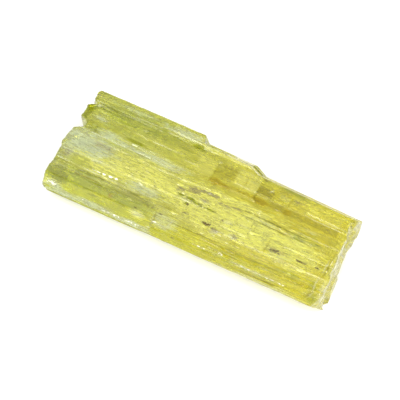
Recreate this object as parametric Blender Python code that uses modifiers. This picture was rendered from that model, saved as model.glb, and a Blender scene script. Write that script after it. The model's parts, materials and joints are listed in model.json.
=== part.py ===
"""A rough golden beryl: one flattened hexagonal crystal, lying on its broad face.

The crystal runs along X. Beryl grows as a six-sided prism whose faces meet at 120 degrees, and
this one is flattened, so two of the six faces are broad. It is built as it grew and broke:

1. a block is cleaved by four sloping planes into the hexagonal prism,
2. every face but the one it lies on is overgrown by long strips, each a little higher or lower
   than its neighbour and each with its own end, and a thicker strip makes the ledge at the back,
3. the notch in the back edge, the sunk front panel, the chips, grooves and pits are cut out,
4. both ends are broken off by a block whose inner side is a stepped break,
5. the whole crystal tapers a little towards +X.
"""

import math
import random

import bmesh
import bpy
from mathutils import Matrix, Vector

MM = 0.001

# Driving dimensions, in metres
LENGTH = 45.2 * MM       # between the mean planes of the two broken ends
WIDTH = 17.2 * MM        # across the two side edges, half way along
THICKNESS = 9.0 * MM     # between the two broad faces, half way along
TAPER = -0.066           # change of section from the -X end to the +X end
OVERHANG = 4.0 * MM      # how far raw strips run past the ends before they are broken off
SEED = 31

# The broad face has a low ridge along it, and leans back behind the ridge
RIDGE = 0.4 * MM
BACK_LEAN = math.radians(2.2)

# Overgrown strips: their mean width, how far they stand out and lean, and how deep they reach in
STRIP_WIDTH = 0.95 * MM
STRIP_LIFT = (0.02 * MM, 0.30 * MM)
STRIP_LEAN = math.radians(6)
STRIP_DEPTH = 1.1 * MM

# The ledge: a thicker strip along the back upper edge, shorter than the crystal
LEDGE_END = -3.21 * MM
LEDGE_WIDTH = 2.3 * MM
LEDGE_OUT = 1.12 * MM
LEDGE_DEPTH = 2.6 * MM
LEDGE_YAW = math.radians(2.0)
LEDGE_TIPS = ((0, 0.2), (0.30, 0.39))
CREST_TIPS = ((0.4, 0.6), (-0.6, 0.8))

# Past the ledge the back upper face is lower
NOTCH_START = 4.9 * MM
NOTCH_DEPTH = 0.66 * MM
NOTCH_FALL = (1.9, 2.6)

# The front upper face is sunk along its upper edge, from the -X end up to a step across it
PANEL_END = -5.6 * MM
PANEL_DEPTH = 0.5 * MM
PANEL_FALL = (-0.1, 0.3)
CUT_UNEVENNESS = 0.12 * MM  # between the strips that the notch and the panel are cut in

# The -X end: the edges of its lengthwise strips, from front to back, how far each reaches beyond
# the mean plane of the end, and how it leans. The frontmost strip is upright from the floor up to
# a little under the middle height, and leans back above that.
END_EDGES = (-6.3 * MM, 0.25 * MM, 1.92 * MM, 4.4 * MM, 4.97 * MM)
END_REACH = (1.16 * MM, 0.1 * MM, -1.3 * MM, -0.2 * MM, -1.6 * MM, -0.75 * MM)
END_LEAN = 0.06
FRONT_END_LEAN = 0.14
UPRIGHT_BELOW_MIDDLE = 0.3 * MM

# The +X end: how far it stays behind the mean plane, how it runs aslant across the crystal and
# leans, and a shallow bite across its width
RIGHT_BEHIND = 1.07 * MM
RIGHT_ASLANT = 0.048
RIGHT_LEAN = 0.034
BITE_MIDDLE = 3.9 * MM
BITE_WIDTH = 2.4 * MM
BITE_DEPTH = 0.7 * MM

# The small flats of both breaks
FACET_STEP = 0.28 * MM
FACET_SLOPE = 0.10
FACETS = 34

HALF_LENGTH = LENGTH / 2
MID_HEIGHT = THICKNESS / 2
BROAD_WIDTH = WIDTH - THICKNESS * math.tan(math.radians(30))
SLOPE_WIDTH = MID_HEIGHT / math.cos(math.radians(30))
SLOPE_MIDDLE = (WIDTH + BROAD_WIDTH) / 4

BACK_WIDTH = BROAD_WIDTH / 2 - RIDGE
BACK_DROP = BACK_WIDTH * math.tan(BACK_LEAN)

# The faces of the prism: the angle of the outward normal in the YZ plane, the middle of the face
# in that plane, and the width of the face. The upper broad face is in two parts, either side of
# the ridge.
BACK_ANGLE = 90 - math.degrees(BACK_LEAN)
BACK_MIDDLE = (RIDGE + BACK_WIDTH / 2, THICKNESS - BACK_DROP / 2)
FACES = {
    "top_front": (90, (RIDGE / 2 - BROAD_WIDTH / 4, THICKNESS), BROAD_WIDTH / 2 + RIDGE),
    "top_back": (BACK_ANGLE, BACK_MIDDLE, BACK_WIDTH),
    "front_upper": (150, (-SLOPE_MIDDLE, MID_HEIGHT * 1.5), SLOPE_WIDTH),
    "front_lower": (210, (-SLOPE_MIDDLE, MID_HEIGHT * 0.5), SLOPE_WIDTH),
    "bottom": (270, (0, 0), BROAD_WIDTH),
    "back_lower": (330, (SLOPE_MIDDLE, MID_HEIGHT * 0.5), SLOPE_WIDTH),
    "back_upper": (30, (SLOPE_MIDDLE, MID_HEIGHT * 1.5), SLOPE_WIDTH),
}
CLEAVED_FACES = ("top_back", "front_upper", "front_lower", "back_lower", "back_upper")

# Grooves on each face
GROOVES = {
    "top_front": 6,
    "top_back": 6,
    "front_upper": 5,
    "front_lower": 4,
    "bottom": 8,
    "back_lower": 4,
    "back_upper": 4,
}
GROOVE_WIDTH = (0.25 * MM, 0.55 * MM)
GROOVE_DEPTH = (0.27 * MM, 0.42 * MM)
REST_BAND = 0.9 * MM     # kept free of grooves along the middle of the bottom

PITS = 14
PIT_SIZE = (0.5 * MM, 0.8 * MM)

CHIP_TURN = math.radians(38)

# Chips off the edges and corners: a point on the flat of the chip, its outward normal, its width
CHIPS = {
    "chip_right_front": ((21.3, -8.0, 5.5), (0.75, -0.60, -0.11), 9),
    "chip_right_back": ((21.2, 6.6, 2.4), (0.80, 0.45, -0.35), 9),
    "chip_left_back": ((-22.2, 6.7, 8.9), (-0.60, 0.35, 0.72), 9),
    "chip_left_front": ((-23.4, -8.3, 4.1), (-0.60, -0.70, -0.40), 9),
    "chip_left_edge": ((-22.8, -6.3, 8.9), (-0.86, -0.20, 0.46), 4),
    "chip_left_top": ((-22.3, -0.4, 9.1), (-0.35, 0.15, 0.93), 9),
    "chip_back_low": ((9.0, 7.4, 2.2), (0.12, 0.80, -0.60), 7),
}


def clear_scene():
    for obj in list(bpy.data.objects):
        bpy.data.objects.remove(obj, do_unlink=True)


def new_collection(name):
    collection = bpy.data.collections.new(name)
    bpy.context.scene.collection.children.link(collection)
    return collection


def crystal_material():
    material = bpy.data.materials.new("golden_beryl")
    material.use_nodes = True
    shader = material.node_tree.nodes["Principled BSDF"]
    shader.inputs["Base Color"].default_value = (0.62, 0.58, 0.14, 1.0)
    shader.inputs["Roughness"].default_value = 0.3
    shader.inputs["Metallic"].default_value = 0.0
    shader.inputs["IOR"].default_value = 1.57
    shader.inputs["Transmission Weight"].default_value = 0.8
    return material


def shift(x, y, z):
    return Matrix.Translation((x, y, z))


def turn(angle, axis):
    return Matrix.Rotation(angle, 4, axis)


def face_frame(face):
    """A matrix in the middle of a face: X runs along the crystal, Y across the face, Z out of it."""
    angle, middle, _ = FACES[face]
    return shift(0, *middle) @ turn(math.radians(angle - 90), "X")


def cleave(bm, point, normal):
    """Cut away all that lies beyond a plane, and close the cut."""
    everything = bm.verts[:] + bm.edges[:] + bm.faces[:]
    cut = bmesh.ops.bisect_plane(
        bm, geom=everything, dist=1e-7, plane_co=point, plane_no=normal, clear_outer=True)
    rim = [item for item in cut["geom_cut"] if isinstance(item, bmesh.types.BMEdge)]
    bmesh.ops.edgeloop_fill(bm, edges=rim)


def to_object(bm, name, collection):
    bmesh.ops.recalc_face_normals(bm, faces=bm.faces[:])
    mesh = bpy.data.meshes.new(name)
    bm.to_mesh(mesh)
    bm.free()
    obj = bpy.data.objects.new(name, mesh)
    collection.objects.link(obj)
    return obj


def helper_object(bm, name, collection):
    """A strip or a cutter shapes the crystal and isn't an object of the model."""
    obj = to_object(bm, name, collection)
    obj.hide_render = True
    obj.display_type = "WIRE"
    return obj


def new_box(frame, size):
    bm = bmesh.new()
    bmesh.ops.create_cube(bm, size=1.0, matrix=frame @ Matrix.Diagonal((*size, 1)))
    return bm


def prism_block(collection):
    """The hexagonal prism: a box whose four long edges are cleaved off."""
    size = (LENGTH + 2 * OVERHANG, WIDTH * 1.2, THICKNESS)
    bm = new_box(shift(0, 0, MID_HEIGHT), size)
    for face in CLEAVED_FACES:
        frame = face_frame(face)
        cleave(bm, frame.translation, frame.to_3x3() @ Vector((0, 0, 1)))
    return to_object(bm, "beryl_crystal", collection)


def strip(name, frame, size, tips, collection):
    """A long box whose upper side lies in the frame's XY plane, with both tips cleaved off aslant."""
    length, width, depth = size
    bm = new_box(frame @ shift(0, 0, -depth / 2), size)
    for side, (across, up) in zip((-1, 1), tips):
        tip = frame @ Vector((side * (length - width) / 2, 0, 0))
        cleave(bm, tip, frame.to_3x3() @ Vector((side, across, up)))
    return helper_object(bm, name, collection)


def random_tips(rng):
    return [(rng.uniform(-0.8, 0.8), rng.uniform(0.1, 1.2)) for _ in range(2)]


def uneven_parts(rng, total, mean, spread):
    """Cut a length into uneven parts, and give the middle and the width of each."""
    parts = [rng.uniform(1 - spread, 1 + spread) for _ in range(max(1, round(total / mean)))]
    scale = total / sum(parts)
    start = -total / 2
    for part in parts:
        yield start + part * scale / 2, part * scale
        start += part * scale


def overgrow(face, rng, collection):
    """Cover a face with strips, most of them in two or three lengths of unlike height."""
    raw_length = LENGTH + 2 * OVERHANG
    for row, (across, width) in enumerate(uneven_parts(rng, FACES[face][2], STRIP_WIDTH, 0.6)):
        mean_length = raw_length / rng.choice((1, 2, 2, 3))
        for column, (along, length) in enumerate(uneven_parts(rng, raw_length, mean_length, 0.5)):
            frame = (
                face_frame(face)
                @ shift(along, across, rng.uniform(*STRIP_LIFT))
                @ turn(rng.uniform(-1, 1) * math.radians(0.5), "Z")
                @ turn(rng.uniform(-1, 1) * STRIP_LEAN, "X")
            )
            size = (length + width * 3, width * rng.uniform(1.05, 1.3), STRIP_DEPTH)
            strip(f"strip_{face}_{row:02d}_{column}", frame, size, random_tips(rng), collection)


def ledge(collection):
    """The strip that lies along the back upper edge and stops halfway, with a crest of its own."""
    length = LEDGE_END + HALF_LENGTH + OVERHANG
    middle = BROAD_WIDTH / 2 + LEDGE_OUT - LEDGE_WIDTH / 2
    frame = (
        shift(-HALF_LENGTH, middle, THICKNESS)
        @ turn(LEDGE_YAW, "Z")
        @ shift(length / 2 - OVERHANG, 0, 0)
        @ turn(math.radians(-6), "X")
    )
    strip("ledge", frame, (length, LEDGE_WIDTH, LEDGE_DEPTH), LEDGE_TIPS, collection)
    crest = frame @ shift(-3.5 * MM, -0.25 * MM, 0.16 * MM) @ turn(math.radians(4), "X")
    size = (length - 7 * MM, LEDGE_WIDTH / 2, LEDGE_DEPTH / 2)
    strip("ledge_crest", crest, size, CREST_TIPS, collection)


def floor_cut(collection):
    """Nothing reaches below the broad face that the crystal lies on."""
    depth = 4 * MM
    box = new_box(shift(0, 0, -depth / 2), (LENGTH * 2, WIDTH * 2, depth))
    helper_object(box, "floor_cut", collection)


def cut_strips(name, frame, size, steepness, rng, collection):
    """Cut down to the frame's XY plane in strips side by side, each a little deeper or shallower.

    The steepness is the range of the fall at both tips: 0 is a square step, 1 a slope of 45 degrees.
    """
    length, width, height = size
    raw_length = length + 2 * height * steepness[1]
    for row, (across, strip_width) in enumerate(uneven_parts(rng, width, STRIP_WIDTH, 0.6)):
        offset = shift(0, across, rng.uniform(0, 1) * CUT_UNEVENNESS)
        place = frame @ offset @ turn(rng.uniform(-0.06, 0.06), "X")
        bm = new_box(place @ shift(0, 0, height / 2), (raw_length, strip_width * 1.15, height))
        for side in (-1, 1):
            tip = place @ Vector((side * (length / 2 - rng.uniform(0, 2) * CUT_UNEVENNESS), 0, 0))
            fall = rng.uniform(*steepness)
            cleave(bm, tip, place.to_3x3() @ Vector((side, rng.uniform(-0.4, 0.2), -fall)))
        helper_object(bm, f"{name}_{row}", collection)


def back_notch(rng, collection):
    """A slab off the back upper face, from where the notch starts to the +X end."""
    size = (HALF_LENGTH + OVERHANG - NOTCH_START, SLOPE_WIDTH * 1.6, 3 * MM)
    frame = face_frame("back_upper") @ shift(NOTCH_START + size[0] / 2, 0, -NOTCH_DEPTH)
    cut_strips("back_notch", frame, size, NOTCH_FALL, rng, collection)


def front_panel(rng, collection):
    """The sunk part of the front upper face, deepest under the edge of the broad face."""
    size = (PANEL_END + HALF_LENGTH + OVERHANG, SLOPE_WIDTH * 1.1, 2 * MM)
    lean = turn(math.atan(PANEL_DEPTH / SLOPE_WIDTH), "X")
    middle = shift(PANEL_END - size[0] / 2, 0, -PANEL_DEPTH / 2)
    frame = face_frame("front_upper") @ middle @ lean
    cut_strips("front_panel", frame, size, PANEL_FALL, rng, collection)


def chips(collection):
    """Flat flakes off the edges and corners, by boxes set on the flat of each chip."""
    for name, (spot, normal, width) in CHIPS.items():
        size = (width * MM, width * MM, 4 * MM)
        upright = Vector(normal).to_track_quat("Z", "Y").to_matrix().to_4x4() @ turn(CHIP_TURN, "Z")
        frame = Matrix.Translation(Vector(spot) * MM) @ upright @ shift(0, 0, size[2] / 2)
        helper_object(new_box(frame, size), name, collection)


def spindle(name, frame, size, collection):
    """An octahedron drawn out along X: as a cutter it leaves a groove that runs out at both ends."""
    bm = bmesh.new()
    bmesh.ops.create_uvsphere(bm, u_segments=4, v_segments=2, radius=0.5)
    lie_down = turn(math.radians(90), "Y")
    bmesh.ops.transform(bm, matrix=frame @ Matrix.Diagonal((*size, 1)) @ lie_down, verts=bm.verts[:])
    helper_object(bm, name, collection)


def along_face(face, rng):
    """A place along a face; the back upper face is covered by the ledge as far as its end."""
    start = LEDGE_END / LENGTH + 0.2 if face == "back_upper" else -0.42
    return rng.uniform(start, 0.42) * LENGTH


def grooves(rng, collection):
    for face, count in GROOVES.items():
        width = FACES[face][2]
        for i, (across, _) in enumerate(uneven_parts(rng, width * 0.9, width / count, 0.5)):
            if face == "bottom" and abs(across) < REST_BAND:
                continue
            surface = 0 if face == "bottom" else STRIP_LIFT[1] / 2
            middle = shift(along_face(face, rng), across, surface)
            frame = face_frame(face) @ middle @ turn(rng.uniform(-0.015, 0.015), "Z")
            length = LENGTH * rng.uniform(0.15, 0.4)
            size = (length, rng.uniform(*GROOVE_WIDTH), 2 * rng.uniform(*GROOVE_DEPTH))
            spindle(f"groove_{face}_{i}", frame, size, collection)


def pits(rng, collection):
    """Small angular etch pits in the faces that show."""
    for i in range(PITS):
        face = rng.choice(("top_front", "top_back", "front_upper", "back_upper", "front_lower"))
        across = rng.uniform(-0.4, 0.4) * FACES[face][2]
        frame = face_frame(face) @ shift(along_face(face, rng), across, STRIP_LIFT[1] / 2)
        width = rng.uniform(*PIT_SIZE)
        size = (width * rng.uniform(1.3, 3.0), width, width)
        spindle(f"pit_{i:02d}", frame @ turn(rng.uniform(0, 3), "X"), size, collection)


def left_reach(y, z):
    """Where the -X end breaks: each lengthwise strip has its own reach."""
    strip_index = sum(1 for edge in END_EDGES if y > edge)
    lean = END_LEAN * (MID_HEIGHT - z)
    if strip_index == 0:
        lean = FRONT_END_LEAN * max(z - MID_HEIGHT, -UPRIGHT_BELOW_MIDDLE)
    return -HALF_LENGTH - END_REACH[strip_index] + lean


def right_reach(y, z):
    """Where the +X end breaks: aslant, further out at the front than at the back."""
    bite = BITE_DEPTH * math.exp(-((y - BITE_MIDDLE) / BITE_WIDTH) ** 2)
    lean = RIGHT_LEAN * (z - MID_HEIGHT)
    return HALF_LENGTH - RIGHT_BEHIND - RIGHT_ASLANT * y + lean - bite


def break_facets(rng):
    """The small flats of a break: where each lies, how far it steps out and how it slopes."""
    for _ in range(FACETS):
        spot = Vector((rng.uniform(-0.6, 0.6) * WIDTH, rng.uniform(-0.1, 1.1) * THICKNESS))
        slope = Vector((rng.uniform(-1, 1), rng.uniform(-1, 1))) * FACET_SLOPE
        yield spot, rng.uniform(-1, 1) * FACET_STEP, slope


def end_break(name, side, reach, rng, collection):
    """A block past the end whose inner side is the break: each point lies on its nearest facet."""
    columns, rows = 36, 13
    facets = list(break_facets(rng))
    bm = bmesh.new()
    bmesh.ops.create_grid(bm, x_segments=columns, y_segments=rows, size=0.5)
    for vert in bm.verts:
        place = Vector((vert.co.x * WIDTH * 1.25, MID_HEIGHT + vert.co.y * THICKNESS * 1.4))
        spot, step, slope = min(facets, key=lambda facet: (facet[0] - place).length)
        x = reach(place.x, place.y) + step + slope.dot(place - spot)
        vert.co = Vector((x, place.x, place.y))
    grown = bmesh.ops.extrude_face_region(bm, geom=bm.faces[:])
    for item in grown["geom"]:
        if isinstance(item, bmesh.types.BMVert):
            item.co.x = side * LENGTH
    helper_object(bm, name, collection)


def add_boolean(obj, operation, collection):
    modifier = obj.modifiers.new(collection.name, "BOOLEAN")
    modifier.operation = operation
    modifier.solver = "EXACT"
    modifier.operand_type = "COLLECTION"
    modifier.collection = collection


def add_taper(obj):
    modifier = obj.modifiers.new("taper", "SIMPLE_DEFORM")
    modifier.deform_method = "TAPER"
    modifier.deform_axis = "X"
    modifier.factor = TAPER


def centre_on_floor(crystal, helpers):
    """The origin is the middle of the box on the floor; strips and cutters move with the crystal."""
    for obj in helpers:
        obj.parent = crystal
    evaluated = crystal.evaluated_get(bpy.context.evaluated_depsgraph_get())
    corners = [Vector(corner) for corner in evaluated.bound_box]
    low = [min(corner[axis] for corner in corners) for axis in range(3)]
    high = [max(corner[axis] for corner in corners) for axis in range(3)]
    crystal.location = (-(low[0] + high[0]) / 2, -(low[1] + high[1]) / 2, -low[2])


def main():
    rng = random.Random(SEED)
    clear_scene()
    parts = new_collection("golden_beryl")
    growth = new_collection("growth")
    breaks = new_collection("breaks")

    crystal = prism_block(parts)
    crystal.data.materials.append(crystal_material())

    for face in ("top_front", *CLEAVED_FACES):
        overgrow(face, rng, growth)
    ledge(growth)

    floor_cut(breaks)
    back_notch(rng, breaks)
    front_panel(rng, breaks)
    chips(breaks)
    grooves(rng, breaks)
    pits(rng, breaks)
    end_break("left_break", -1, left_reach, rng, breaks)
    end_break("right_break", 1, right_reach, rng, breaks)

    add_boolean(crystal, "UNION", growth)
    add_boolean(crystal, "DIFFERENCE", breaks)
    add_taper(crystal)
    centre_on_floor(crystal, list(growth.objects) + list(breaks.objects))


main()
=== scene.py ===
# %% [markdown]
# # A golden beryl crystal
# Beryl grows as six-sided columns. Iron tints this one yellow, and then it is called golden beryl
# or heliodor. The piece is one broken-off column, flat underneath, fluted lengthwise, and clear
# enough to let light right through.
#
# The CAD model gives the column its large faces, ledges and breaks. This lesson dresses it: a finer
# skin, a see-through material, the veils, needles and specks that grew inside it, a white table,
# soft light and a camera.

# %% Start: the frame, the units and the starting size
import json
import math
import random

import bpy
import numpy as np
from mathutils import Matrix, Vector
from mathutils.bvhtree import BVHTree

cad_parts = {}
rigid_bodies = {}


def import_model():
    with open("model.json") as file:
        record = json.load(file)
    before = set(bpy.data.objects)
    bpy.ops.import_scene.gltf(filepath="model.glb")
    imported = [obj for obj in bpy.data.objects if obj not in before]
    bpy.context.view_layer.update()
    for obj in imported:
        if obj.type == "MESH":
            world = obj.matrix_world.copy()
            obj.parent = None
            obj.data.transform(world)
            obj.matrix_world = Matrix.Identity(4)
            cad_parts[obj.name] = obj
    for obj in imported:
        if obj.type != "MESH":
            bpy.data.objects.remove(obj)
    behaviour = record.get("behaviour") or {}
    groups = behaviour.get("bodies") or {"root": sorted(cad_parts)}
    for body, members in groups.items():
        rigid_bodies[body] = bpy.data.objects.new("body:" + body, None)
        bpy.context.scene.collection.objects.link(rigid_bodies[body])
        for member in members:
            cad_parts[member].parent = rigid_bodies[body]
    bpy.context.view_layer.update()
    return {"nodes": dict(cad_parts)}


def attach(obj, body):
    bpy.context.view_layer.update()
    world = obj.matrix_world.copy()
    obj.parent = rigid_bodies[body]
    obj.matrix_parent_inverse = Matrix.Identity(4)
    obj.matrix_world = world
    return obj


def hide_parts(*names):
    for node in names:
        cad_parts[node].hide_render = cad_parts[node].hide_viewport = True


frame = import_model()
MM = 0.001

# %% [markdown]
# Operators act on whatever is selected, and the loaded CAD solid arrives selected. So each step
# starts by letting go of everything and picking up the one thing it works on.

# %% Picking things up


def deselect_all():
    for obj in bpy.context.view_layer.objects:
        obj.select_set(False)


def pick(obj):
    deselect_all()
    obj.select_set(True)
    bpy.context.view_layer.objects.active = obj


print("selected after loading:", [obj.name for obj in bpy.context.selected_objects])

# %% [markdown]
# ## The camera
# A long lens from well above, a little to the right of the front, sees the broad top face, the
# front faces and a sliver of the right-hand break. It is a perspective camera far away, so that the
# long edges stay nearly parallel. Blender wants a sensor and a lens in millimetres, and every other
# length in metres.

# %% Camera
AZIMUTH = math.radians(27.4)
ELEVATION = math.radians(61.0)
DISTANCE = 0.6
VIEW_WIDTH = 59.0 * MM
SENSOR_WIDTH = 36
AIM_HEIGHT = 4.6 * MM
AIM_LEFT = 0.876 * MM
NEAREST = 0.01
FARTHEST = 20
away = Vector((
    math.sin(AZIMUTH) * math.cos(ELEVATION),
    -math.cos(AZIMUTH) * math.cos(ELEVATION),
    math.sin(ELEVATION),
))
rightward = Vector((math.cos(AZIMUTH), math.sin(AZIMUTH), 0))
aim = Vector((0, 0, AIM_HEIGHT)) - rightward * AIM_LEFT
lens_block = bpy.data.cameras.new("camera")
lens_block.sensor_width = SENSOR_WIDTH
lens_block.lens = SENSOR_WIDTH * DISTANCE / VIEW_WIDTH
lens_block.clip_start = NEAREST
lens_block.clip_end = FARTHEST
camera = bpy.data.objects.new("camera", lens_block)
bpy.context.scene.collection.objects.link(camera)
camera.location = aim + away * DISTANCE
camera.rotation_euler = (-away).to_track_quat("-Z", "Y").to_euler()
bpy.context.scene.camera = camera
print("lens", round(lens_block.lens), "mm")

# %% [markdown]
# ## The crystal's own surface
# The solid from the frame has large plain faces. A real column is fluted from end to end, because
# its faces grew in thin steps. The solid itself is left alone, and a copy of it takes the fluting.
# The solid arrives as loose triangles, so the copy is first sewn together.

# %% A sewn copy of the solid
solid = frame["nodes"]["beryl_crystal"]
SEAM = 0.005 * MM
pick(solid)
bpy.ops.object.duplicate()
crystal = bpy.context.object
crystal.name = "fine_crystal"
crystal.data.name = "fine_crystal"
crystal.data.materials.clear()
bpy.ops.object.mode_set(mode="EDIT")
bpy.ops.mesh.select_all(action="SELECT")
bpy.ops.mesh.remove_doubles(threshold=SEAM)
bpy.ops.mesh.normals_make_consistent(inside=False)
bpy.ops.object.mode_set(mode="OBJECT")
print("sewn copy:", len(crystal.data.vertices), "corners")

# %% [markdown]
# The copy is then rebuilt as an even net that is fine enough to carry the fluting. Voxel remesh cuts
# the skin into cells that are as long as they are wide. So the column is squeezed lengthwise before
# it and drawn out after it: the net is fine across the flutes and long along them, and no face is
# wasted.

# %% An even net, drawn out lengthwise
DRAW_OUT = 3.0
CELL = 0.115 * MM


def stretch_lengthwise(obj, amount):
    obj.scale = (amount, 1, 1)
    bpy.ops.object.transform_apply(location=False, rotation=False, scale=True)


stretch_lengthwise(crystal, 1 / DRAW_OUT)
crystal.data.remesh_voxel_size = CELL
crystal.data.remesh_voxel_adaptivity = 0.0
bpy.ops.object.voxel_remesh()
stretch_lengthwise(crystal, DRAW_OUT)
print("net:", len(crystal.data.polygons), "quads")

# %% [markdown]
# The net will be fluted, but behind a line along the top face this crystal is glassier. A vertex
# group says how much of the relief each corner takes: all of it in front of the line and on the
# right-hand break, about a third of it behind the line at the left, and about a seventh of it
# behind the line at the right.

# %% Where the crystal is glassier
GLASSY_BEHIND = 0.9 * MM
GLASSY_UP_TO = 21.5 * MM
LESS_AT_LEFT = 0.65
LESS_AT_RIGHT = 0.85
GROWN = "grown"
grown = crystal.vertex_groups.new(name=GROWN)
for corner in crystal.data.vertices:
    to_right = min(max(corner.co.x / MM, 0), 1)
    behind = min(max((corner.co.y - GLASSY_BEHIND) / MM, 0), 1)
    inside_end = min(max((GLASSY_UP_TO - corner.co.x) / MM, 0), 1)
    less = LESS_AT_LEFT + (LESS_AT_RIGHT - LESS_AT_LEFT) * to_right
    grown.add([corner.index], 1 - less * behind * inside_end, "REPLACE")
print("relief kept behind the line:", round(1 - LESS_AT_LEFT, 2), "to", round(1 - LESS_AT_RIGHT, 2))

# %% [markdown]
# The relief is a Displace modifier whose cloud texture is read through an empty: the empty's scale
# is the size of one cloud, long along the column and narrow across it. Where the empty stands only
# picks which clouds are used. The modifier is applied and the empty removed, so the relief is in the
# mesh and shows from every side. A bump in the material would be less work, but it would leave the
# outline smooth.
#
# Three sizes of relief follow one another, from flutes to growth lines to frosting, each shallower
# than the one before. Each row gives the size of a cloud and the height of the relief, both in
# millimetres, and how many finer octaves the clouds have.

# %% Flutes, growth lines and frosting
EMPTY_PLACE = (0.013, 0.007, 0.005)
RELIEFS = (
    ("flutes", (14, 0.9, 0.9), 0.12, 1),
    ("growth_lines", (12, 0.4, 0.4), 0.04, 1),
    ("frosting", (2.4, 0.3, 0.3), 0.008, 2),
)


def add_relief(obj, name, cell, height, octaves):
    """Raise and lower obj by clouds of the size cell, as far as its vertex group lets it."""
    space = bpy.data.objects.new(name, None)
    bpy.context.scene.collection.objects.link(space)
    space.scale = [side * MM for side in cell]
    space.location = EMPTY_PLACE
    bpy.context.view_layer.update()
    clouds = bpy.data.textures.new(name, "CLOUDS")
    clouds.noise_scale = 1.0
    clouds.noise_depth = octaves
    relief = obj.modifiers.new(name, "DISPLACE")
    relief.texture = clouds
    relief.texture_coords = "OBJECT"
    relief.texture_coords_object = space
    relief.strength = height * MM
    relief.mid_level = 0.5
    relief.vertex_group = GROWN
    bpy.ops.object.modifier_apply(modifier=name)
    bpy.data.objects.remove(space)


pick(crystal)
for name, cell, height, octaves in RELIEFS:
    add_relief(crystal, name, cell, height, octaves)
    print(name, "up to", height, "mm high")

# %% [markdown]
# The crystal lies on its flat underside, so the corners that the relief pushed below the table are
# put back on it.

# %% Flat on the table again
pushed_below = [corner for corner in crystal.data.vertices if corner.co.z < 0]
for corner in pushed_below:
    corner.co.z = 0
bpy.ops.object.shade_smooth()
print("put back on the table:", len(pushed_below), "corners")

# %% [markdown]
# ## Stains, painted on the net
# A stain is a soft-edged ellipsoid, given by its middle, its half sizes in millimetres and its
# strength. Each corner of the net gets a number for each kind of stain, as if painted by hand in
# Vertex Paint. Six kinds fit in the red, green and blue of two colour attributes. The material could
# work out each stain by itself, but it would need several nodes for every one of them. Painted on
# the net, all the stains together need only some twenty nodes.
#
# The broad ones come first. Frost is where many tiny hollow tubes scatter the light. Green and
# yellow are where the iron in the crystal tints it in another shade.

# %% The broad stains
FROST = (
    ((-19.0, -1.7, 9.4), (5.0, 2.1, 2.0), 0.85),
    ((-21.0, -3.8, 9.4), (1.6, 2.4, 2.0), 0.6),
    ((-15.5, -3.3, 9.4), (3.0, 1.5, 2.0), 0.4),
    ((-16.6, 0.7, 9.4), (2.6, 0.9, 2.0), 0.65),
    ((-18.9, 2.7, 9.4), (1.6, 0.8, 2.0), 0.4),
    ((-9.5, 0.4, 9.4), (8.0, 0.8, 2.0), 0.65),
    ((-7.5, -5.0, 9.4), (3.4, 0.9, 1.0), 0.65),
    ((-3.0, -7.5, 7.4), (2.4, 1.4, 2.0), 0.55),
    ((-6.2, 6.3, 9.2), (4.4, 0.8, 1.5), 0.75),
    ((-14.5, 6.3, 9.3), (5.0, 0.6, 1.5), 0.45),
    ((-20.0, -8.6, 4.2), (3.0, 0.8, 0.8), 0.8),
    ((-22.8, -8.3, 4.4), (0.8, 1.0, 1.4), 0.7),
    ((14.8, -5.5, 9.0), (2.4, 0.6, 1.0), 0.4),
    ((5.8, -6.3, 9.0), (1.5, 0.5, 0.8), 0.5),
    ((-21.3, -8.3, 5.2), (2.2, 1.2, 1.2), 0.6),
    ((-14.0, -8.5, 4.7), (4.2, 0.7, 0.6), 0.7),
    ((-8.0, -8.6, 4.4), (3.6, 0.7, 0.6), 0.9),
    ((11.0, -8.0, 5.8), (10.0, 0.6, 0.55), 0.45),
    ((13.0, -8.5, 4.5), (9.0, 0.5, 0.3), 0.7),
    ((8.0, -3.6, 9.0), (1.0, 0.4, 1.0), 0.5),
    ((16.5, 0.2, 8.9), (3.0, 0.5, 1.0), 0.3),
    ((12.6, 0.3, 8.9), (2.0, 0.4, 1.0), 0.25),
    ((22.6, -1.0, 6.5), (0.8, 8.5, 2.2), 0.85),
    ((4.6, -6.4, 9.1), (0.9, 0.35, 0.8), 0.7),
    ((5.7, -4.1, 9.1), (0.9, 0.35, 0.8), 0.7),
    ((7.4, -5.9, 9.1), (0.8, 0.45, 0.8), 0.8),
    ((1.0, -2.6, 9.2), (0.8, 0.25, 0.8), 0.7),
    ((-1.7, -3.7, 9.3), (0.8, 0.25, 0.8), 0.6),
)
GREEN = (
    ((-17.6, -7.2, 8.0), (6.0, 1.2, 1.8), 0.75),
    ((-20.6, -7.4, 7.4), (2.0, 1.2, 1.6), 1.0),
    ((-9.0, -7.3, 7.8), (4.5, 1.0, 1.6), 0.7),
    ((-14.0, 4.8, 9.2), (9.0, 1.6, 2.0), 0.6),
    ((-9.0, 6.2, 8.6), (6.0, 1.0, 1.5), 0.5),
    ((-6.0, 3.0, 9.2), (5.0, 0.7, 1.5), 0.3),
    ((9.5, -7.6, 6.8), (9.0, 0.7, 1.0), 0.2),
    ((17.0, -6.9, 7.8), (3.5, 0.8, 0.8), 0.5),
    ((17.0, -1.3, 8.9), (3.5, 1.0, 1.5), 0.5),
    ((13.0, 4.9, 8.8), (6.0, 0.6, 1.0), 0.5),
    ((5.0, 7.3, 6.1), (1.8, 0.6, 1.0), 0.8),
    ((21.5, -7.9, 5.5), (1.0, 0.9, 1.2), 0.55),
    ((9.0, -8.2, 5.6), (8.0, 0.4, 0.4), 0.45),
)
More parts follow.
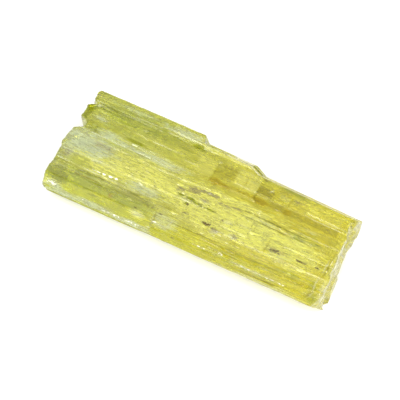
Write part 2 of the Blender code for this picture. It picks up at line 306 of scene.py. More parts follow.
YELLOW = (
    ((-8.0, -2.6, 9.3), (8.0, 2.4, 2.0), 0.8),
    ((-13.0, -4.2, 9.5), (5.0, 1.6, 2.0), 0.8),
    ((3.5, -3.8, 9.1), (9.0, 2.8, 2.0), 0.9),
    ((9.5, -3.7, 9.0), (3.4, 2.2, 2.0), 2.0),
    ((16.0, -4.0, 8.9), (5.0, 2.8, 2.0), 0.8),
    ((-7.6, -7.7, 6.3), (1.6, 0.8, 0.9), 1.0),
    ((-13.0, -6.0, 9.4), (5.5, 0.22, 0.4), 0.9),
    ((5.5, -0.6, 9.1), (8.0, 0.8, 1.5), 0.7),
    ((16.5, 3.5, 8.8), (4.0, 1.2, 1.5), 0.25),
)
print("broad stains:", len(FROST), "frosted,", len(GREEN), "green,", len(YELLOW), "yellow")

# %% [markdown]
# The small ones are darker. Olive ones lie along the steps between growth layers, brown ones are
# rust that crept into partings, and grey ones are flat films of gas and fluid.

# %% The small stains
DARK_GREEN = (
    ((-21.5, 3.5, 8.9), (1.0, 1.8, 2.0), 0.7),
    ((-19.4, 0.9, 9.4), (2.0, 1.2, 2.0), 0.45),
    ((-7.8, -6.55, 8.8), (3.0, 0.45, 0.6), 0.85),
    ((-10.5, -6.6, 8.7), (3.4, 0.30, 0.5), 0.8),
    ((-12.6, -7.0, 8.0), (1.8, 0.5, 0.5), 0.6),
    ((-8.4, -7.1, 7.7), (1.6, 0.4, 0.4), 0.6),
    ((-16.0, -6.35, 9.0), (3.6, 0.2, 0.5), 0.7),
    ((-20.5, -7.3, 7.4), (1.6, 1.0, 1.4), 1.0),
    ((-14.1, -6.9, 8.4), (1.0, 0.16, 0.3), 0.9),
    ((-14.6, -7.9, 6.4), (1.0, 0.16, 0.3), 0.9),
    ((-12.3, 1.5, 9.4), (1.6, 0.30, 1.0), 0.8),
    ((-17.0, 4.9, 9.4), (4.0, 0.25, 1.0), 0.6),
    ((-2.5, -3.2, 9.3), (0.4, 0.18, 1.0), 0.9),
    ((-0.8, -3.12, 9.3), (0.9, 0.16, 1.0), 0.9),
    ((0.5, -3.42, 9.3), (1.0, 0.14, 1.0), 1.0),
    ((2.6, -3.4, 9.1), (1.0, 0.14, 1.0), 0.8),
    ((-1.1, -4.1, 9.3), (0.2, 0.35, 1.0), 0.8),
    ((-3.6, 5.2, 9.0), (1.4, 0.35, 1.0), 0.8),
    ((21.1, -7.0, 7.4), (0.7, 1.1, 1.4), 0.5),
    ((14.0, -7.2, 7.4), (6.0, 0.20, 0.3), 0.6),
    ((6.5, -7.3, 7.3), (4.0, 0.18, 0.3), 0.5),
)
BROWN = (
    ((0.9, 1.2, 9.3), (1.0, 0.6, 1.0), 1.0),
    ((2.2, 1.1, 9.3), (1.6, 0.45, 1.0), 0.8),
    ((8.2, 1.3, 9.0), (1.5, 0.55, 1.0), 1.0),
    ((12.6, 1.4, 8.8), (0.6, 0.5, 1.0), 1.0),
    ((-12.1, -7.3, 7.5), (0.35, 0.35, 0.5), 1.0),
    ((5.0, 1.15, 9.1), (8.0, 0.45, 1.0), 0.45),
    ((8.5, -7.2, 7.5), (12.0, 0.6, 0.7), 0.32),
    ((18.5, -7.4, 7.0), (2.5, 0.6, 0.7), 0.38),
)
GREY = (
    ((-2.9, -2.3, 9.4), (0.9, 0.40, 1.0), 0.7),
    ((-1.0, -1.6, 9.2), (1.1, 0.50, 1.0), 0.9),
    ((0.0, -1.1, 9.1), (1.0, 0.35, 1.0), 0.7),
    ((1.6, -0.95, 9.1), (1.2, 0.35, 1.0), 0.8),
    ((1.3, -2.3, 9.1), (0.9, 0.25, 1.0), 0.6),
    ((3.8, -1.7, 9.1), (1.1, 0.30, 1.0), 0.6),
    ((6.0, -1.5, 9.0), (1.0, 0.25, 1.0), 0.6),
    ((14.3, -5.0, 9.0), (1.6, 0.35, 1.0), 0.5),
    ((4.6, -6.2, 9.2), (0.6, 0.40, 0.8), 0.7),
    ((7.6, -5.8, 9.2), (0.7, 0.35, 0.8), 0.5),
    ((13.4, 3.7, 8.8), (1.0, 0.25, 1.0), 0.6),
    ((-16.3, -1.3, 9.4), (1.8, 0.45, 1.0), 0.5),
    ((-20.8, -4.8, 9.5), (0.9, 0.8, 1.0), 0.5),
)
print("small stains:", len(DARK_GREEN), "olive,", len(BROWN), "brown,", len(GREY), "grey")

# %% [markdown]
# Now the painting. For each corner of the net, its distance from a stain's middle is measured in
# half sizes, so the stain is full well inside, and fades out a little beyond its edge.

# %% Painting the stains on the net
corners = np.empty(len(crystal.data.vertices) * 3)
crystal.data.vertices.foreach_get("co", corners)
corners = corners.reshape(-1, 3) / MM
FULL_WITHIN = 0.5
NONE_BEYOND = 1.5


def painted(rows):
    """For each corner, the strongest of the rows: full in the middle of a stain, none outside it."""
    strongest = np.zeros(len(corners))
    for middle, half, strength in rows:
        distance = np.linalg.norm((corners - middle) / half, axis=1)
        inside = np.clip((NONE_BEYOND - distance) / (NONE_BEYOND - FULL_WITHIN), 0, 1)
        strongest = np.maximum(strongest, strength * inside)
    return strongest


def paint(name, red_rows, green_rows, blue_rows):
    layer = crystal.data.color_attributes.new(name, "FLOAT_COLOR", "POINT")
    channels = [painted(rows) for rows in (red_rows, green_rows, blue_rows)]
    channels.append(np.ones(len(corners)))
    layer.data.foreach_set("color", np.stack(channels, axis=1).ravel())


paint("broad_stains", FROST, GREEN, YELLOW)
paint("small_stains", DARK_GREEN, BROWN, GREY)
print("painted:", [layer.name for layer in crystal.data.color_attributes])

# %% [markdown]
# ## The material: clear golden beryl
# The body is clear: high transmission, beryl's own refractive index, and a volume that soaks up
# blue. What shades it lies in the base colour, which tints light as it passes the skin: a drift
# from green at one end to gold at the other, lengthwise streaks, and the stains and partings that
# this crystal has. The stains come from the painted attributes, and all else is read from Object
# coordinates in metres, so it sits still on the crystal.

# %% Helpers for the node tree
beryl = bpy.data.materials.new("clear_golden_beryl")
beryl.use_nodes = True
tree = beryl.node_tree
skin = tree.nodes["Principled BSDF"]
place = tree.nodes.new("ShaderNodeTexCoord").outputs["Object"]
SHIFT_DIRECTION = (1.0, 1.7, 0.6)


def node(kind, **settings):
    """A new node of the given kind in the crystal's material, with its settings made."""
    made = tree.nodes.new(kind)
    for name, value in settings.items():
        setattr(made, name, value)
    return made


def drawn_noise(cell, detail, roughness, shift):
    """Noise whose blobs have the size cell in millimetres; another shift gives other blobs."""
    scaled = node("ShaderNodeMapping")
    scaled.inputs["Scale"].default_value = [1 / (side * MM) for side in cell]
    scaled.inputs["Location"].default_value = [shift * side for side in SHIFT_DIRECTION]
    noise = node("ShaderNodeTexNoise")
    noise.inputs["Scale"].default_value = 1.0
    noise.inputs["Detail"].default_value = detail
    noise.inputs["Roughness"].default_value = roughness
    tree.links.new(place, scaled.inputs["Vector"])
    tree.links.new(scaled.outputs["Vector"], noise.inputs["Vector"])
    return noise


def reach(value, low, high, to_low=0.0, to_high=1.0):
    """Stretch value from low..high to to_low..to_high, with soft ends."""
    span = node("ShaderNodeMapRange", interpolation_type="SMOOTHSTEP")
    span.inputs["From Min"].default_value = low
    span.inputs["From Max"].default_value = high
    span.inputs["To Min"].default_value = to_low
    span.inputs["To Max"].default_value = to_high
    tree.links.new(value, span.inputs["Value"])
    return span.outputs["Result"]


axes = node("ShaderNodeSeparateXYZ")
tree.links.new(place, axes.inputs["Vector"])
print("node tree started with", len(tree.nodes), "nodes")

# %% [markdown]
# The painted stains have soft round edges. Before they are read, noise that is drawn out lengthwise
# is added to them, so each frays into streaks as a stain between growth layers does. A stain starts
# to show at one limit and is full at the other. Both limits lie higher by what the noise adds on
# average.

# %% Reading the painted stains, frayed
STAIN_STARTS = 0.22
STAIN_FULL = 0.72


def three_channels(colour):
    parts = node("ShaderNodeSeparateColor")
    tree.links.new(colour, parts.inputs["Color"])
    return parts.outputs


def frayed_stains(layer_name, cell, shift, fray):
    """The three stains of a painted layer, each frayed by its own noise: fray is how raggedly."""
    layer = node("ShaderNodeAttribute", attribute_name=layer_name)
    noise = drawn_noise(cell, detail=4, roughness=0.7, shift=shift)
    stains = []
    ragged_edges = three_channels(noise.outputs["Color"])
    for stain, ragged in zip(three_channels(layer.outputs["Color"]), ragged_edges):
        shaken = node("ShaderNodeMath", operation="MULTIPLY_ADD")
        shaken.inputs[1].default_value = fray
        tree.links.new(ragged, shaken.inputs[0])
        tree.links.new(stain, shaken.inputs[2])
        average = 0.5 * fray
        stains.append(reach(shaken.outputs["Value"], average + STAIN_STARTS, average + STAIN_FULL))
    return stains


frost, green, yellow = frayed_stains("broad_stains", cell=(2.4, 0.45, 0.45), shift=5.3, fray=1.6)
dark_green, brown, grey = frayed_stains("small_stains", cell=(0.8, 0.26, 0.26), shift=2.7, fray=1.7)
print("with the stains:", len(tree.nodes), "nodes")

# %% [markdown]
# Partings, cracks and scratches are too thin for the net, so they are drawn by the material itself:
# each is a long flat ellipsoid around a point, given like a stain. Where a row has one more number,
# that turns the line, in degrees.

# %% Where the thin lines lie
PARTINGS = (
    ((0.2, 2.9, 9.2), (0.12, 2.3, 1.5), 0.8),
    ((3.3, 3.2, 9.2), (0.10, 1.6, 1.5), 0.6),
    ((5.1, 2.9, 9.0), (0.10, 1.2, 1.5), 0.8),
    ((7.2, 2.3, 9.0), (0.14, 1.5, 1.5), 1.0),
    ((9.8, 2.6, 8.9), (0.10, 1.3, 1.5), 0.6),
    ((12.3, 2.3, 8.8), (0.12, 1.8, 1.5), 0.8),
    ((12.5, -4.7, 9.0), (0.15, 1.9, 1.5), 0.55),
    ((9.1, -3.3, 9.0), (0.08, 1.3, 1.5), 0.6),
    ((9.6, -3.3, 9.0), (0.08, 1.2, 1.5), 0.6),
    ((-4.6, -7.4, 7.0), (0.9, 0.14, 2.5), 1.0, 80),
    ((20.9, -7.7, 6.0), (0.85, 0.13, 2.0), 1.0, 37),
    ((22.05, -4.2, 8.9), (0.16, 1.9, 1.0), 0.8),
    ((11.0, -1.95, 9.0), (4.2, 0.09, 1.0), 0.9),
    ((11.5, -1.2, 9.0), (5.0, 0.12, 1.0), 0.8),
    ((-15.5, -6.2, 9.35), (4.0, 0.12, 0.4), 0.5),
    ((-8.4, -6.42, 9.1), (3.4, 0.16, 0.5), 0.6),
    ((-17.0, -6.65, 8.6), (3.4, 0.30, 0.16), 1.0),
    ((2.5, -7.2, 7.8), (5.0, 0.3, 0.12), 0.8),
    ((13.0, -8.37, 5.07), (6.5, 0.3, 0.16), 1.0),
    ((-9.0, -6.6, 8.6), (4.2, 0.3, 0.09), 0.8),
    ((-13.4, -7.0, 8.0), (2.6, 0.3, 0.07), 0.8),
)
SCRATCHES = (
    ((-2.1, -7.4, 7.7), (0.75, 0.10, 2.0), 1.0, 50),
    ((0.7, -3.6, 9.2), (0.8, 0.07, 1.0), 0.8, 60),
    ((11.0, -1.6, 9.0), (4.0, 0.10, 1.0), 0.8),
    ((20.9, -7.9, 6.4), (0.8, 0.06, 2.0), 0.9, 37),
    ((21.65, -4.0, 8.8), (0.12, 1.7, 1.0), 1.0),
    ((21.40, -6.5, 7.6), (1.2, 0.13, 2.5), 1.0, 75),
    ((22.45, -4.5, 7.6), (0.35, 3.4, 1.2), 0.9),
    ((-7.5, -7.65, 6.35), (1.3, 0.8, 0.7), 0.9),
    ((-12.0, -5.9, 9.5), (7.0, 0.14, 1.0), 0.7),
    ((4.6, -8.05, 5.95), (3.6, 0.3, 0.09), 0.9),
    ((12.2, -8.0, 5.7), (3.6, 0.3, 0.09), 0.9),
    ((-10.0, -8.46, 4.6), (3.5, 0.3, 0.10), 0.9),
)
print("thin lines:", len(PARTINGS), "dark,", len(SCRATCHES), "pale")

# %% [markdown]
# No crack is as straight as a ruler. The place each line is drawn at is first shaken by a little
# noise, so the lines waver and break up.

# %% Shaking the place


def slightly_shaken(cell, amount, shift):
    """The place, shaken by noise of the size cell by up to amount, both in millimetres."""
    noise = drawn_noise(cell, detail=4, roughness=0.7, shift=shift)
    from_middle = node("ShaderNodeVectorMath", operation="SUBTRACT")
    from_middle.inputs[1].default_value = (0.5, 0.5, 0.5)
    tree.links.new(noise.outputs["Color"], from_middle.inputs[0])
    shake = node("ShaderNodeVectorMath", operation="MULTIPLY_ADD")
    shake.inputs[1].default_value = [side * MM * 2 for side in amount]
    tree.links.new(from_middle.outputs["Vector"], shake.inputs[0])
    tree.links.new(place, shake.inputs[2])
    return shake.outputs["Vector"]


shaken_place = slightly_shaken(cell=(0.9, 0.3, 0.3), amount=(0.2, 0.14, 0.14), shift=2.7)
print("with the shaking:", len(tree.nodes), "nodes")

# %% [markdown]
# A line is at its full strength close to its middle and fades out around its edge. Where several
# lines cross, only the strongest one counts.

# %% Drawing thin lines
LINE_FULL_WITHIN = 0.3
LINE_NONE_BEYOND = 1.3


def thin_line(middle, half, strength, yaw=0):
    """One soft ellipsoid: strength inside, 0 outside."""
    centred = node("ShaderNodeMapping", vector_type="TEXTURE")
    centred.inputs["Location"].default_value = [side * MM for side in middle]
    centred.inputs["Rotation"].default_value = (0, 0, math.radians(yaw))
    centred.inputs["Scale"].default_value = [side * MM for side in half]
    tree.links.new(shaken_place, centred.inputs["Vector"])
    distance = node("ShaderNodeVectorMath", operation="LENGTH")
    tree.links.new(centred.outputs["Vector"], distance.inputs[0])
    return reach(distance.outputs["Value"], LINE_FULL_WITHIN, LINE_NONE_BEYOND, strength, 0.0)


def arithmetic(operation, first, second):
    """The product or the larger of two values, each a number or a socket."""
    step = node("ShaderNodeMath", operation=operation)
    for socket, value in zip(step.inputs, (first, second)):
        if isinstance(value, float):
            socket.default_value = value
        else:
            tree.links.new(value, socket)
    return step.outputs["Value"]


def all_of(shape, rows):
    """Draw the shape once for each row, and keep the strongest at each point."""
    total = shape(*rows[0])
    for row in rows[1:]:
        total = arithmetic("MAXIMUM", total, shape(*row))
    return total


dark_lines = all_of(thin_line, PARTINGS)
pale_lines = all_of(thin_line, SCRATCHES)
print("with the lines:", len(tree.nodes), "nodes")

# %% [markdown]
# Partings cut the top face into blocks that pass more or less light, most of them at the back. A
# block is given by its two ends, its two sides and its strength.

# %% Blocks between partings
BRIGHT_BLOCKS = (
    (3.2, 7.1, 1.7, 5.2, 0.9),
    (12.4, 20.6, 2.7, 4.6, 0.3),
    (10.4, 12.2, 2.7, 4.0, 0.7),
    (-3.0, 0.0, 1.0, 4.6, 0.6),
    (8.6, 12.4, -5.6, -2.2, 0.6),
    (-3.4, -2.7, -4.6, -0.4, 0.6),
)
DIM_BLOCKS = (
    (7.1, 9.7, 1.9, 3.9, 1.0),
    (0.2, 3.2, 1.6, 4.8, 0.6),
    (9.7, 20.8, 0.8, 2.5, 0.75),
    (9.7, 12.2, 3.9, 5.0, 0.8),
    (12.6, 20.6, -0.9, 0.9, 0.25),
)
SOFT_END = 0.18
SOFT_SIDE = 0.5
TOP_FACE_STARTS = 7.0 * MM
TOP_FACE_FULL = 8.3 * MM
frayed_axes = node("ShaderNodeSeparateXYZ")
tree.links.new(shaken_place, frayed_axes.inputs["Vector"])


def between(value, low, high, soft):
    """1 where value lies between low and high, both in millimetres, with soft ends inside them."""
    rise = reach(value, low * MM, (low + soft) * MM)
    fall = reach(value, (high - soft) * MM, high * MM, 1.0, 0.0)
    return arithmetic("MULTIPLY", rise, fall)


def block(x_low, x_high, y_low, y_high, strength):
    """A box on the top face with nearly sharp ends, as between two partings."""
    along = between(axes.outputs["X"], x_low, x_high, SOFT_END)
    across = between(frayed_axes.outputs["Y"], y_low, y_high, SOFT_SIDE)
    on_top = reach(axes.outputs["Z"], TOP_FACE_STARTS, TOP_FACE_FULL, 0.0, strength)
    return arithmetic("MULTIPLY", arithmetic("MULTIPLY", along, across), on_top)


bright_blocks = all_of(block, BRIGHT_BLOCKS)
dim_blocks = all_of(block, DIM_BLOCKS)
print("with the blocks:", len(tree.nodes), "nodes")

# %% [markdown]
# The tint is laid on in order, each colour over the one before. First come the drift from end to
# end, streaks in two widths with blotches between them, and the blocks. Colours are linear numbers,
# as the shader wants them. A streak is noise between two limits: the lower limit is where it starts
# to show, and the upper one is where it is full.

# %% The tint of the skin: drift, streaks and blocks
GREEN_END = (0.78, 0.84, 0.25)
GOLD_END = (0.94, 0.86, 0.07)
DRIFT_STARTS = -18 * MM
DRIFT_ENDS = 16 * MM
LEMON = (1.0, 0.97, 0.26)
OLIVE = (0.62, 0.62, 0.05)
DEEP_OLIVE = (0.52, 0.49, 0.04)
BRIGHT_BLOCK = (1.0, 0.98, 0.30)
DIM_BLOCK = (0.46, 0.42, 0.04)


def tinted(under, mask, colour, share=1.0, blend="MIX"):
    """Lay a colour over under where the mask says, and no more than share of it."""
    if share < 1:
        mask = arithmetic("MULTIPLY", mask, share)
    layer = node("ShaderNodeMix", data_type="RGBA", blend_type=blend)
    tree.links.new(mask, layer.inputs["Factor"])
    for socket, value in zip((layer.inputs[6], layer.inputs[7]), (under, colour)):
        if isinstance(value, tuple):
            socket.default_value = (*value, 1)
        else:
            tree.links.new(value, socket)
    return layer.outputs[2]


def streaks(cell, detail, roughness, shift, starts, full):
    """A mask of streaks: 0 where the noise is at or below starts, 1 where it is full or above."""
    noise = drawn_noise(cell, detail, roughness, shift)
    return reach(noise.outputs["Fac"], starts, full)


drift = reach(axes.outputs["X"], DRIFT_STARTS, DRIFT_ENDS)
tint = tinted(GREEN_END, drift, GOLD_END)
wide_streaks = streaks((9.0, 0.9, 0.9), detail=4, roughness=0.6, shift=3.1, starts=0.38, full=0.62)
tint = tinted(tint, wide_streaks, LEMON, share=0.45)
blotches = streaks((3.0, 1.3, 1.3), detail=4, roughness=0.65, shift=7.7, starts=0.45, full=0.62)
tint = tinted(tint, blotches, OLIVE, share=0.4)
narrow_streaks = streaks((3.0, 0.24, 0.24), detail=4, roughness=0.7, shift=8.4, starts=0.42, full=0.66)
tint = tinted(tint, narrow_streaks, DEEP_OLIVE, share=0.36)
tint = tinted(tint, bright_blocks, BRIGHT_BLOCK)
tint = tinted(tint, dim_blocks, DIM_BLOCK)
print("tint begun:", len(tree.nodes), "nodes")

# %% [markdown]
# Then come flecks and the broad stains. The sides and ends get painted shade: a layer that
# multiplies takes most of the blue out of them before the frost goes on, so they look deeper than the
# lit top. The frost itself is whiter at the green end and yellower at the gold end.

# %% The tint of the skin: flecks and broad stains
FLECK = (0.80, 0.78, 0.42)
YELLOW_STAIN = (1.0, 0.99, 0.31)
GREEN_STAIN = (0.41, 0.475, 0.09)
SIDE_SHADE_TINT = (1.0, 1.0, 0.18)
SIDES_FULL_BELOW = 7.6 * MM
SIDES_END_AT = 8.8 * MM
WHITE_FROST = (0.84, 0.89, 0.67)
YELLOW_FROST = (1.0, 0.96, 0.48)
flecks = streaks((1.6, 0.34, 0.34), detail=4, roughness=0.7, shift=4.4, starts=0.52, full=0.66)
tint = tinted(tint, flecks, FLECK, share=0.25)
tint = tinted(tint, yellow, YELLOW_STAIN)
tint = tinted(tint, green, GREEN_STAIN, share=0.85)
# Painted shade: the sides and ends lose most of their blue, so they look deeper than the lit top face
painted_side_shade = reach(axes.outputs["Z"], SIDES_FULL_BELOW, SIDES_END_AT, to_low=1.0, to_high=0.0)
tint = tinted(tint, painted_side_shade, SIDE_SHADE_TINT, blend="MULTIPLY")
frost_colour = tinted(WHITE_FROST, drift, YELLOW_FROST)
tint = tinted(tint, frost, frost_colour, share=0.85)
print("tint with broad stains:", len(tree.nodes), "nodes")

# %% [markdown]
# The small stains and the thin lines lie over the broad ones. Last of all a fine grain darkens
# everything a little, in hair-thin lengthwise lines.

# %% The tint of the skin: small stains, lines and grain
GREY_FILM = (0.52, 0.46, 0.22)
OLIVE_STAIN = (0.40, 0.44, 0.0)
RUST = (0.55, 0.43, 0.0)
DARK_PARTING = (0.38, 0.34, 0.0)
PALE_SCRATCH = (1.0, 1.0, 0.62)
GRAIN = (0.70, 0.68, 0.35)
tint = tinted(tint, grey, GREY_FILM, share=0.8)
tint = tinted(tint, dark_green, OLIVE_STAIN)
tint = tinted(tint, brown, RUST)
tint = tinted(tint, dark_lines, DARK_PARTING)
tint = tinted(tint, pale_lines, PALE_SCRATCH)
fine_grain = streaks((0.9, 0.16, 0.16), detail=2, roughness=0.6, shift=1.9, starts=0.35, full=0.65)
tint = tinted(tint, fine_grain, GRAIN, share=0.15, blend="MULTIPLY")
tree.links.new(tint, skin.inputs["Base Color"])
print("tint finished:", len(tree.nodes), "nodes")

# %% [markdown]
# The gloss changes a little from streak to streak. Inside, the volume soaks up blue and leaves
# yellow. The bump adds hairlines that are finer than the net.

# %% Gloss, body and fine bump
REFRACTION = 1.57
CLEARNESS = 0.78
GLOSSIEST = 0.05
DULLEST = 0.3
BODY_COLOUR = (0.94, 0.92, 0.05, 1)
BODY_DENSITY = 55.0
BUMP_STRENGTH = 0.2
BUMP_HEIGHT = 0.08 * MM
skin.inputs["IOR"].default_value = REFRACTION
skin.inputs["Transmission Weight"].default_value = CLEARNESS
gloss_noise = drawn_noise((2.5, 0.5, 0.5), detail=3, roughness=0.6, shift=6.2)
gloss = reach(gloss_noise.outputs["Fac"], low=0.35, high=0.65, to_low=GLOSSIEST, to_high=DULLEST)
tree.links.new(gloss, skin.inputs["Roughness"])
body = node("ShaderNodeVolumeAbsorption")
body.inputs["Color"].default_value = BODY_COLOUR
body.inputs["Density"].default_value = BODY_DENSITY
tree.links.new(body.outputs["Volume"], tree.nodes["Material Output"].inputs["Volume"])
bump = node("ShaderNodeBump")
bump.inputs["Strength"].default_value = BUMP_STRENGTH
bump.inputs["Distance"].default_value = BUMP_HEIGHT
fine_lines = drawn_noise((6.0, 0.2, 0.2), detail=3, roughness=0.6, shift=1.3)
tree.links.new(fine_lines.outputs["Fac"], bump.inputs["Height"])
tree.links.new(bump.outputs["Normal"], skin.inputs["Normal"])
crystal.data.materials.append(beryl)
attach(crystal, "root")
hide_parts("beryl_crystal")
print("beryl:", len(tree.nodes), "nodes")

# %% [markdown]
# ## What grew inside
# Under the skin lie fine threads, most of them pointing along the column: hollow growth tubes and
# healed cracks that catch the light. Where they crowd together the crystal looks milky or fibrous.
# One thread is modelled, a six-sided spindle with uneven corners. All others, and the flecks, flakes
# and specks too, are copies of it in other sizes.

# %% One thread, modelled once
UNEVENNESS = 0.12
ALONG_X = (0, math.pi / 2, 0)
deselect_all()
bpy.ops.mesh.primitive_uv_sphere_add(segments=6, ring_count=4, radius=1.0, rotation=ALONG_X)
thread = bpy.context.object
thread.name = "thread"
bpy.ops.object.transform_apply(location=False, rotation=True, scale=False)
bpy.ops.object.mode_set(mode="EDIT")
bpy.ops.mesh.select_all(action="SELECT")
bpy.ops.transform.vertex_random(offset=UNEVENNESS, seed=4)
bpy.ops.mesh.normals_make_consistent(inside=False)
bpy.ops.object.mode_set(mode="OBJECT")
print("thread:", len(thread.data.vertices), "corners,", len(thread.data.polygons), "faces")

# %% [markdown]
# Each copy is put at the skin or a little way under it. A ray finds the skin near a chosen spot: it
# is sent down onto the top face, slantwise onto the front, or from the right onto the end. The
# height above which a spot belongs to the top face, the length beyond which it belongs to the end,
# and the way from the spot back to the ray's start are in millimetres. The crystal is made into a
# search tree once, which keeps thousands of such questions quick.

# %% Feeling for the skin
FROM_ABOVE = Vector((0, 0, -1))
FROM_FRONT = Vector((0, 0.8, -0.6))
FROM_RIGHT = Vector((-1, 0, 0))
TOP_LEVEL = 8.7
END_LEVEL = 22.0
RAY_START = 10
HAIR = 0.02 * MM
bpy.context.view_layer.update()
felt_skin = BVHTree.FromObject(crystal, bpy.context.evaluated_depsgraph_get())
above_the_middle = Vector((0, 0, 2 * RAY_START)) * MM
print("top of the skin over the middle:", felt_skin.ray_cast(above_the_middle, FROM_ABOVE)[0])


def skin_point(spot, middle):
    """Where the skin is, felt from above, from the front or from the right, whichever faces middle."""
    inward = FROM_ABOVE
    if middle[2] < TOP_LEVEL:
        inward = FROM_RIGHT if middle[0] > END_LEVEL else FROM_FRONT
    start = Vector(spot) * MM - inward * RAY_START * MM
    return felt_skin.ray_cast(start, inward)[0], inward


def sticks_out(tip):
    """Whether a tip lies outside the skin by more than a hair."""
    nearest, outward, _, _ = felt_skin.find_nearest(tip)
    return (tip - nearest).dot(outward) > HAIR


# %% [markdown]
# A zone is written like a stain: middle, half sizes and its share of the copies. Larger zones get
# more copies. On the top face the length and the width of a zone count for that. On the slopes its
# height counts in place of its width where it is the larger of the two. A very short or a very
# narrow zone counts as if it were a little larger.

# %% How many copies a zone gets
LEAST_LENGTH = 0.3
LEAST_WIDTH_ON_TOP = 0.1


def zone_weight(middle, half, share):
    """How many of the copies go to a zone, compared with the others of its kind."""
    least_width = half[2] if middle[2] < TOP_LEVEL else LEAST_WIDTH_ON_TOP
    return max(half[0], LEAST_LENGTH) * max(half[1], least_width) * share


print("weight of the first frosted zone:", round(zone_weight(*FROST[0]), 2))

# %% [markdown]
# Every copy gets its own place, size, turn and depth from a dice with a fixed seed, so each run of
# the script gives the same crystal. A copy is thrown again when it misses the crystal, when it lands
# far from its zone or when one of its tips would stick out. Geometry nodes could scatter copies as
# well, but a loop can ask the skin about each copy before it keeps it. At the end all copies of one
# kind are joined into one piece.

# %% Scattering copies under the skin
SPREAD = 1.25
FAR_FACTOR = 1.3
FAR_EXTRA = 0.8
SIZE_FACTORS = (0.4, 1.6)
TILTS = (-0.3, 0.3)


def one_throw(dice, zones, weights, size, depth, yaw, heading):
    """Place, half sizes and turn of one copy, or None where it would miss or stick out."""
    middle, half, _ = dice.choices(zones, weights)[0]
    spot = [at + dice.triangular(-SPREAD, SPREAD) * extent for at, extent in zip(middle, half)]
    point, inward = skin_point(spot, middle)
    if point is None or abs(point.x / MM - middle[0]) > half[0] * FAR_FACTOR + FAR_EXTRA:
        return None
    half_sizes = [side * dice.uniform(*SIZE_FACTORS) * 0.5 * MM for side in size]
    turn = math.radians(heading) + dice.gauss(0, yaw)
    place_inside = point + inward * dice.uniform(*depth) * MM
    arm = Vector((math.cos(turn), math.sin(turn), 0)) * half_sizes[0]
    if sticks_out(place_inside + arm) or sticks_out(place_inside - arm):
        return None
    return place_inside, half_sizes, turn


def scatter(name, zones, count, size, depth, yaw, heading, seed):
    """Copies of the thread in the zones, joined: size is length, width and thickness in mm."""
    dice = random.Random(seed)
    weights = [zone_weight(*zone) for zone in zones]
    copies = []
    while len(copies) < count:
        throw = one_throw(dice, zones, weights, size, depth, yaw, heading)
        if throw is None:
            continue
        copy = bpy.data.objects.new(name, thread.data.copy())
        bpy.context.scene.collection.objects.link(copy)
        copies.append(copy)
        copy.location, copy.scale, turn = throw
        copy.rotation_euler = (dice.uniform(*TILTS), 0, turn)
    deselect_all()
    for copy in copies:
        copy.select_set(True)
    bpy.context.view_layer.objects.active = copies[0]
    bpy.ops.object.join()
    joined = bpy.context.object
    bpy.ops.object.transform_apply(location=True, rotation=True, scale=True)
    joined.name = joined.data.name = name
    bpy.ops.object.shade_smooth()
    return joined


print("a copy is", SIZE_FACTORS[0], "to", SIZE_FACTORS[1], "times the size given for its kind")

# %% [markdown]
# Where each kind lies. Pale threads, olive threads and dark hairlines run all over the top and the
# front. Pale flecks and fine specks lie all over the middle. Dark threads follow the steps between
# growth layers, and black specks sit in small clusters. The glints are painted highlights: white
# pieces at the edges that stand in for the lamp's glints. Veils hang in the right-hand end and below
# the top face beside it.

# %% Zones of the threads
ALL_OVER = (
    ((-11.0, -2.4, 9.4), (11.0, 3.6, 1.0), 1.0),
    ((11.0, -2.4, 9.0), (11.0, 3.6, 1.0), 1.0),
    ((-11.0, 3.6, 9.4), (11.0, 2.6, 1.0), 0.6),
    ((11.0, 2.8, 9.0), (11.0, 1.8, 1.0), 0.3),
    ((-11.0, -7.6, 7.0), (11.0, 1.0, 1.8), 0.8),
    ((11.0, -7.6, 7.0), (11.0, 1.0, 1.8), 0.8),
)
DARK_LINES = (
    ((-11.5, -6.3, 9.1), (7.0, 0.10, 0.1), 2.5),
    ((-9.0, -6.6, 8.6), (3.6, 0.06, 0.06), 2.0),
    ((11.5, -1.2, 9.0), (5.0, 0.08, 0.5), 1.4),
    ((11.0, -1.95, 9.0), (4.2, 0.06, 0.5), 1.2),
    ((18.3, -3.1, 8.9), (1.4, 0.06, 0.5), 1.0),
    ((2.5, -7.2, 7.8), (5.0, 0.1, 0.05), 1.4),
    ((-0.9, -3.3, 9.3), (2.0, 0.26, 0.5), 2.2),
    ((2.4, -3.35, 9.1), (1.2, 0.10, 0.5), 0.8),
    ((-14.1, -6.9, 8.4), (0.7, 0.1, 0.1), 1.5),
    ((-14.8, -7.9, 6.4), (0.6, 0.1, 0.1), 1.5),
    ((-17.0, 4.9, 9.4), (4.0, 0.15, 0.5), 1.0),
    ((14.0, -7.6, 6.9), (6.0, 0.1, 0.1), 1.0),
    ((-3.6, 5.2, 9.0), (0.9, 0.15, 0.5), 1.0),
)
SPECKS = (
    ((-0.4, -5.6, 9.3), (0.35, 0.10, 0.5), 1.0),
    ((3.0, -5.8, 9.2), (0.65, 0.18, 0.5), 3.0),
    ((4.05, -6.0, 9.2), (0.3, 0.10, 0.5), 1.0),
    ((13.9, -5.2, 9.0), (0.7, 0.22, 0.5), 1.5),
    ((17.9, -5.0, 8.9), (0.8, 0.08, 0.5), 2.5),
    ((20.7, -4.8, 8.9), (0.45, 0.10, 0.5), 2.0),
    ((-7.9, -7.3, 7.4), (0.15, 0.12, 0.12), 1.0),
    ((-4.0, -7.0, 8.4), (0.3, 0.08, 0.08), 2.0),
    ((-1.3, -8.4, 5.6), (0.35, 0.08, 0.08), 1.0),
    ((7.5, 4.8, 8.9), (0.25, 0.10, 0.5), 1.0),
    ((-0.9, -4.2, 9.2), (0.12, 0.25, 0.5), 1.0),
    ((4.9, -4.1, 9.1), (0.15, 0.15, 0.5), 1.0),
    ((-5.8, -6.6, 8.8), (1.6, 0.10, 0.2), 0.8),
)
